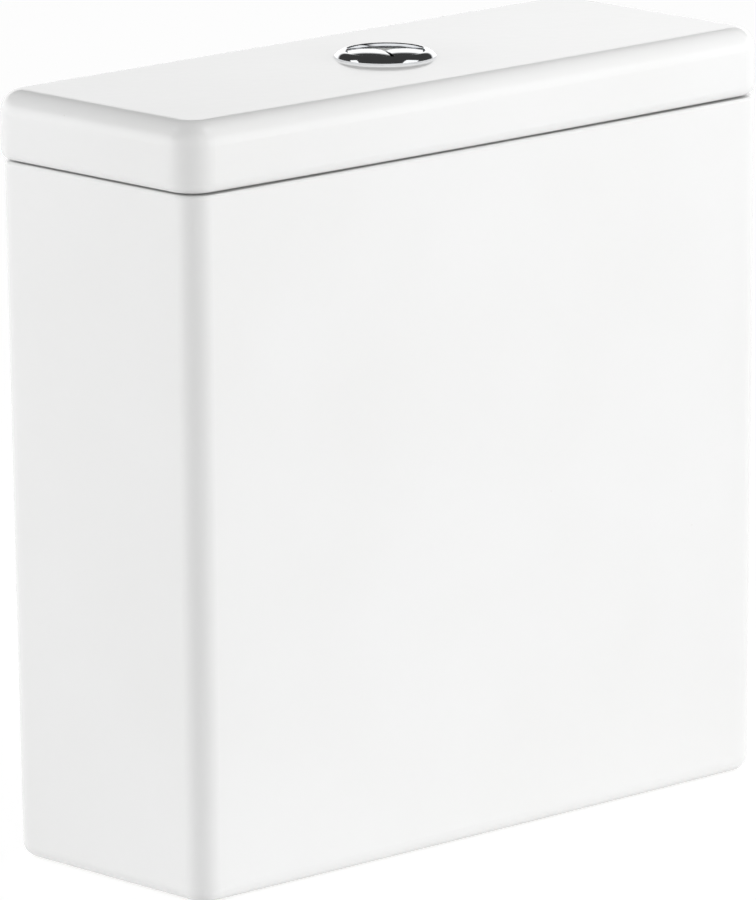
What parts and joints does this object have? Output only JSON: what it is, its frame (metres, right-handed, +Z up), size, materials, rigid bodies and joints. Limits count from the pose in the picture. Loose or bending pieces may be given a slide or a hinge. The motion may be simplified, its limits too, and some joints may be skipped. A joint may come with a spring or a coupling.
{
  "type": "toilet cistern",
  "caption": "Close-coupled ceramic toilet cistern with lift-off lid, dual push-button flush valve and float-operated fill valve.",
  "frame": {"origin": "centre of the cistern's outline in plan, on the plane of its base rim", "axes": "+Z up, +X along the width to the right seen from the front, +Y towards the wall behind"},
  "size_m": [0.365, 0.14, 0.3621],
  "materials": {
    "glazed_ceramic": "smooth gloss white glaze",
    "chrome": "polished chrome plate",
    "white_plastic": "moulded satin plastic",
    "grey_plastic": "moulded satin plastic",
    "blue_plastic": "moulded satin plastic",
    "full_rocker_plastic": "moulded satin plastic",
    "half_rocker_plastic": "moulded satin plastic",
    "clear_plastic": "smooth translucent plastic",
    "float_plastic": "moulded satin plastic",
    "black_rubber": "matt black rubber",
    "silicone": "soft translucent silicone",
    "steel": "bright stainless steel",
    "brass": "bare brass thread",
    "filter_plastic": "fine moulded mesh"
  },
  "bodies": {
    "cistern": {"tank": "glazed_ceramic", "seat_gasket": "black_rubber", "valve_seat": "white_plastic", "outlet_back_nut": "grey_plastic", "coupling_doughnut": "black_rubber", "valve_cage": "white_plastic", "valve_tower": "white_plastic", "tower_head": "blue_plastic", "rocker_axle": "steel", "float_rail": "white_plastic", "latch_pin": "steel", "inlet_washer": "black_rubber", "inlet_shank": "white_plastic", "inlet_back_nut": "grey_plastic", "inlet_filter": "filter_plastic", "riser_tube": "white_plastic", "riser_lock_ring": "grey_plastic", "fill_valve_head": "white_plastic", "fill_diaphragm": "black_rubber", "fill_valve_cap": "grey_plastic", "arm_pin": "steel", "discharge_tube": "white_plastic", "tube_clip": "grey_plastic"},
    "lid": {"lid": "glazed_ceramic", "lid_buffers": "silicone", "button_housing": "white_plastic", "button_bezel": "chrome", "housing_gasket": "black_rubber", "housing_nut": "white_plastic", "full_button_spring": "steel", "half_button_spring": "steel"},
    "full_button": {"full_flush_button": "chrome", "full_push_rod": "white_plastic", "full_rod_nut": "grey_plastic"},
    "half_button": {"half_flush_button": "chrome", "half_push_rod": "white_plastic", "half_rod_nut": "grey_plastic"},
    "full_rocker": {"full_flush_rocker": "full_rocker_plastic"},
    "half_rocker": {"half_flush_rocker": "half_rocker_plastic"},
    "valve_stem": {"overflow_tube": "clear_plastic", "valve_seal": "silicone", "seal_retainer": "grey_plastic", "stem_clips": "grey_plastic", "lift_yoke": "blue_plastic", "full_flush_float": "float_plastic"},
    "half_float": {"half_flush_float": "float_plastic"},
    "latch": {"float_latch": "blue_plastic"},
    "fill_float": {"fill_float": "float_plastic", "float_link_rod": "brass", "link_nuts": "grey_plastic"},
    "float_arm": {"float_arm": "blue_plastic", "pilot_seal": "silicone"}
  },
  "joints": [
    {"name": "lid_lift", "type": "slide", "parent": "cistern", "child": "lid", "axis": [0, 0, 1], "range_m": [0, 0.2]},
    {"name": "full_flush_press", "type": "slide", "parent": "lid", "child": "full_button", "axis": [0, 0, -1], "range_m": [0, 0.0055], "stiffness_N_per_m": 900, "springref_m": -0.004, "deforming": ["full_button_spring"]},
    {"name": "half_flush_press", "type": "slide", "parent": "lid", "child": "half_button", "axis": [0, 0, -1], "range_m": [0, 0.0055], "stiffness_N_per_m": 900, "springref_m": -0.004, "deforming": ["half_button_spring"]},
    {"name": "full_rocker_turn", "type": "hinge", "parent": "cistern", "child": "full_rocker", "pos_m": [0, 0, 0.306], "axis": [0, -1, 0], "range_deg": [0, 24.62]},
    {"name": "half_rocker_turn", "type": "hinge", "parent": "cistern", "child": "half_rocker", "pos_m": [0, 0, 0.306], "axis": [0, 1, 0], "range_deg": [0, 24.62]},
    {"name": "stem_lift", "type": "slide", "parent": "cistern", "child": "valve_stem", "axis": [0, 0, 1], "range_m": [0, 0.0113]},
    {"name": "half_float_rise", "type": "slide", "parent": "cistern", "child": "half_float", "axis": [0, 0, 1], "range_m": [0, 0.02]},
    {"name": "latch_turn", "type": "hinge", "parent": "cistern", "child": "latch", "pos_m": [-0.028, 0, 0.121], "axis": [0, 1, 0], "range_deg": [0, 12]},
    {"name": "fill_float_rise", "type": "slide", "parent": "cistern", "child": "fill_float", "axis": [0, 0, 1], "range_m": [0, 0.012]},
    {"name": "float_arm_turn", "type": "hinge", "parent": "cistern", "child": "float_arm", "pos_m": [-0.129, 0, 0.301], "axis": [0, -1, 0], "range_deg": [0, 18.2]}
  ],
  "couplings": [
    {"joint": "full_rocker_turn", "follows": "full_flush_press", "rad_per_m": 78.13},
    {"joint": "stem_lift", "follows": "full_flush_press", "ratio": 2.054},
    {"joint": "half_rocker_turn", "follows": "half_flush_press", "rad_per_m": 78.13},
    {"joint": "latch_turn", "follows": "half_float_rise", "rad_per_m": 10.47},
    {"joint": "float_arm_turn", "follows": "fill_float_rise", "rad_per_m": 26.47}
  ]
}
